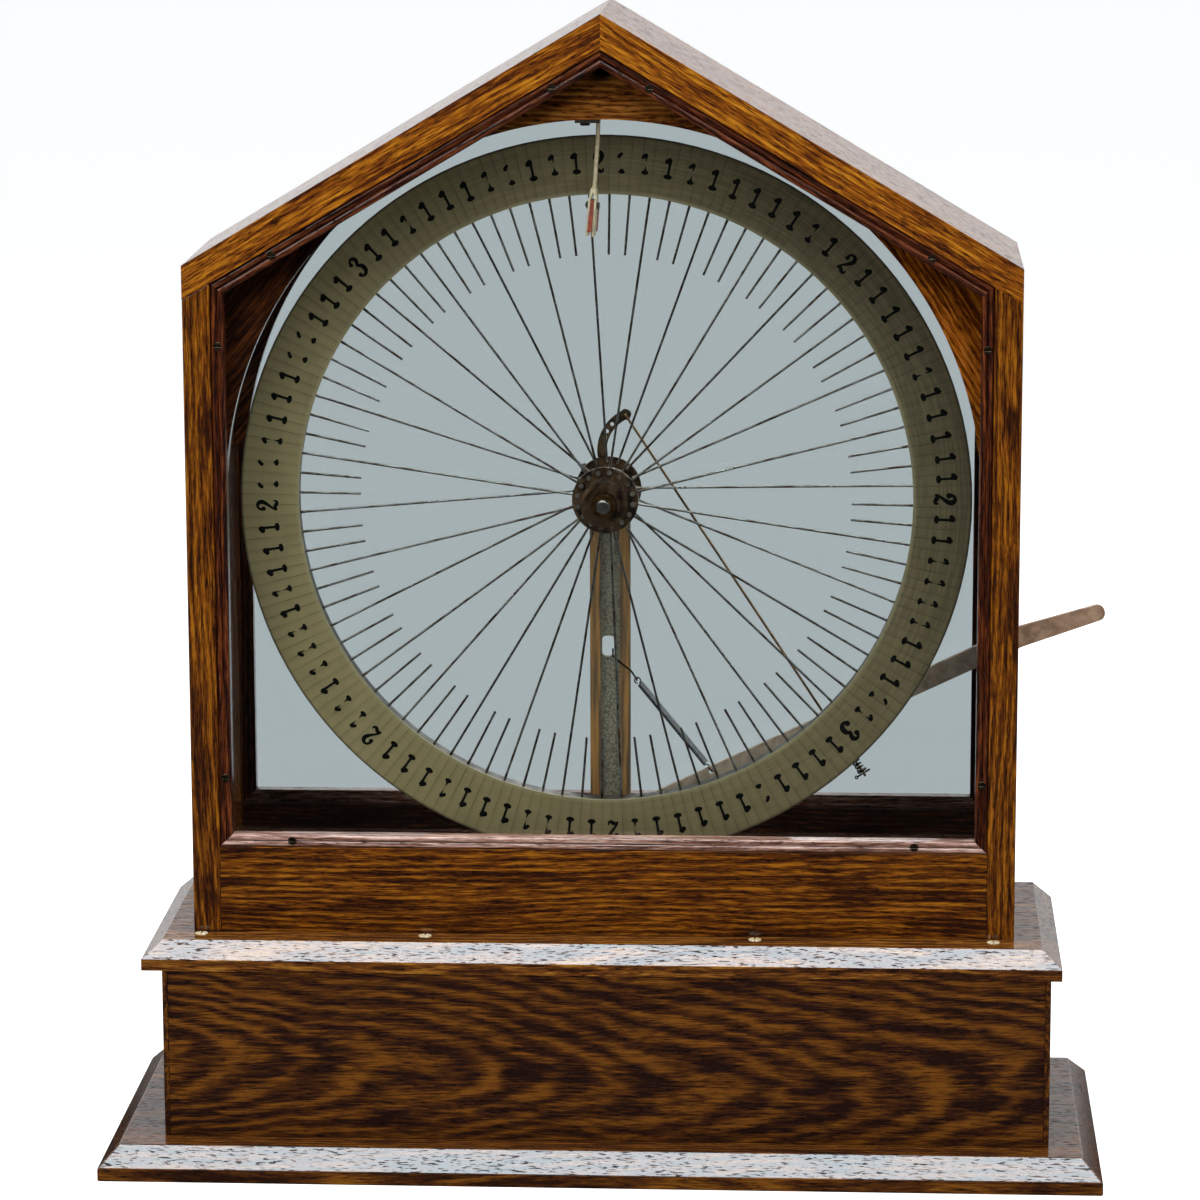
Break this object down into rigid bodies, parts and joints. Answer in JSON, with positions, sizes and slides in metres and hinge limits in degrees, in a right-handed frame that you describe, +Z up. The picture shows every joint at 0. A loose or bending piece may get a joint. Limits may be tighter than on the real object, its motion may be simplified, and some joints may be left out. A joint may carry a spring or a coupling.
{
  "type": "trade stimulator",
  "caption": "Tabletop game of chance: a lever spins a spoked number wheel inside a gabled wood and glass case, and a leather flap clicks over its pins to stop it.",
  "frame": {"origin": "centre of the underside of the lower plinth, where the game stands on a counter", "axes": "+X towards the side with the lever, +Y from the dial's front to the back, +Z up"},
  "size_m": [0.6196, 0.2334, 0.7104],
  "materials": {
    "oak": "gloss",
    "oak_plain": "matte",
    "glass": "gloss",
    "brass": "satin",
    "steel": "satin",
    "dark_steel": "satin",
    "post_iron": "satin",
    "dial": "satin",
    "nickel": "satin",
    "leather": "matte"
  },
  "bodies": {
    "case": {"lower_plinth": "oak", "box_front": "oak", "box_back": "oak", "box_left": "oak", "box_right": "oak", "box_cleats": "oak_plain", "upper_plinth": "oak", "plinth_screws": "nickel", "side_left": "oak", "side_right": "oak", "roof_left": "oak", "roof_right": "oak", "rail_front": "oak", "rail_back": "oak", "gable_front": "oak", "gable_back": "oak", "bracket_front_left": "oak", "bracket_front_right": "oak", "bracket_back_left": "oak", "bracket_back_right": "oak", "arch_screws": "dark_steel", "glass_front": "glass", "glass_back": "glass", "beads_front": "oak", "beads_back": "oak", "bead_screws": "brass", "slot_plate": "brass", "slot_plate_screws": "brass", "post": "post_iron", "post_screws": "dark_steel", "axle": "steel", "axle_nut": "steel", "cones": "steel", "axle_spacer": "steel", "lever_bolt": "steel", "return_spring": "dark_steel", "spring_link": "steel", "pointer": "nickel", "pointer_screw": "nickel", "flap": "leather", "flap_bolt": "nickel"},
    "wheel": {"hub_shell": "dark_steel", "dust_cap": "dark_steel", "bearing_balls": "steel", "spokes_front": "steel", "spokes_rear": "steel", "stub_pins": "steel", "rim": "steel", "dial_plate": "dial", "ratchet_wheel": "dark_steel"},
    "crank": {"crank_arm": "steel"},
    "pawl_body": {"pawl": "dark_steel"},
    "rod": {"pull_rod": "steel", "rod_spring": "steel", "rod_washer": "steel", "cotter_pin": "steel"},
    "lever_body": {"lever": "steel", "rod_lug": "steel"}
  },
  "joints": [
    {"name": "wheel_spin", "type": "hinge", "parent": "case", "child": "wheel", "pos_m": [0, 0, 0.408], "axis": [0, 1, 0], "continuous": true},
    {"name": "lever_pull", "type": "hinge", "parent": "case", "child": "lever_body", "pos_m": [0, 0.046, 0.19], "axis": [0, 1, 0], "range_deg": [0, 10.86], "deforming": ["return_spring"]},
    {"name": "crank_swing", "type": "hinge", "parent": "case", "child": "crank", "pos_m": [0, 0.0445, 0.408], "axis": [0, 1, 0], "range_deg": [0, 40]},
    {"name": "rod_swing", "type": "hinge", "parent": "crank", "child": "rod", "pos_m": [0.0104, 0.0445, 0.45391], "axis": [0, 1, 0], "range_deg": [-35.2, 0]},
    {"name": "pawl_swing", "type": "hinge", "parent": "crank", "child": "pawl_body", "pos_m": [-0.01532, 0.0425, 0.4199], "axis": [0, 1, 0], "range_deg": [-10, 13]}
  ],
  "couplings": [
    {"joint": "crank_swing", "follows": "lever_pull", "ratio": 3.6832},
    {"joint": "rod_swing", "follows": "lever_pull", "ratio": -3.2407}
  ]
}
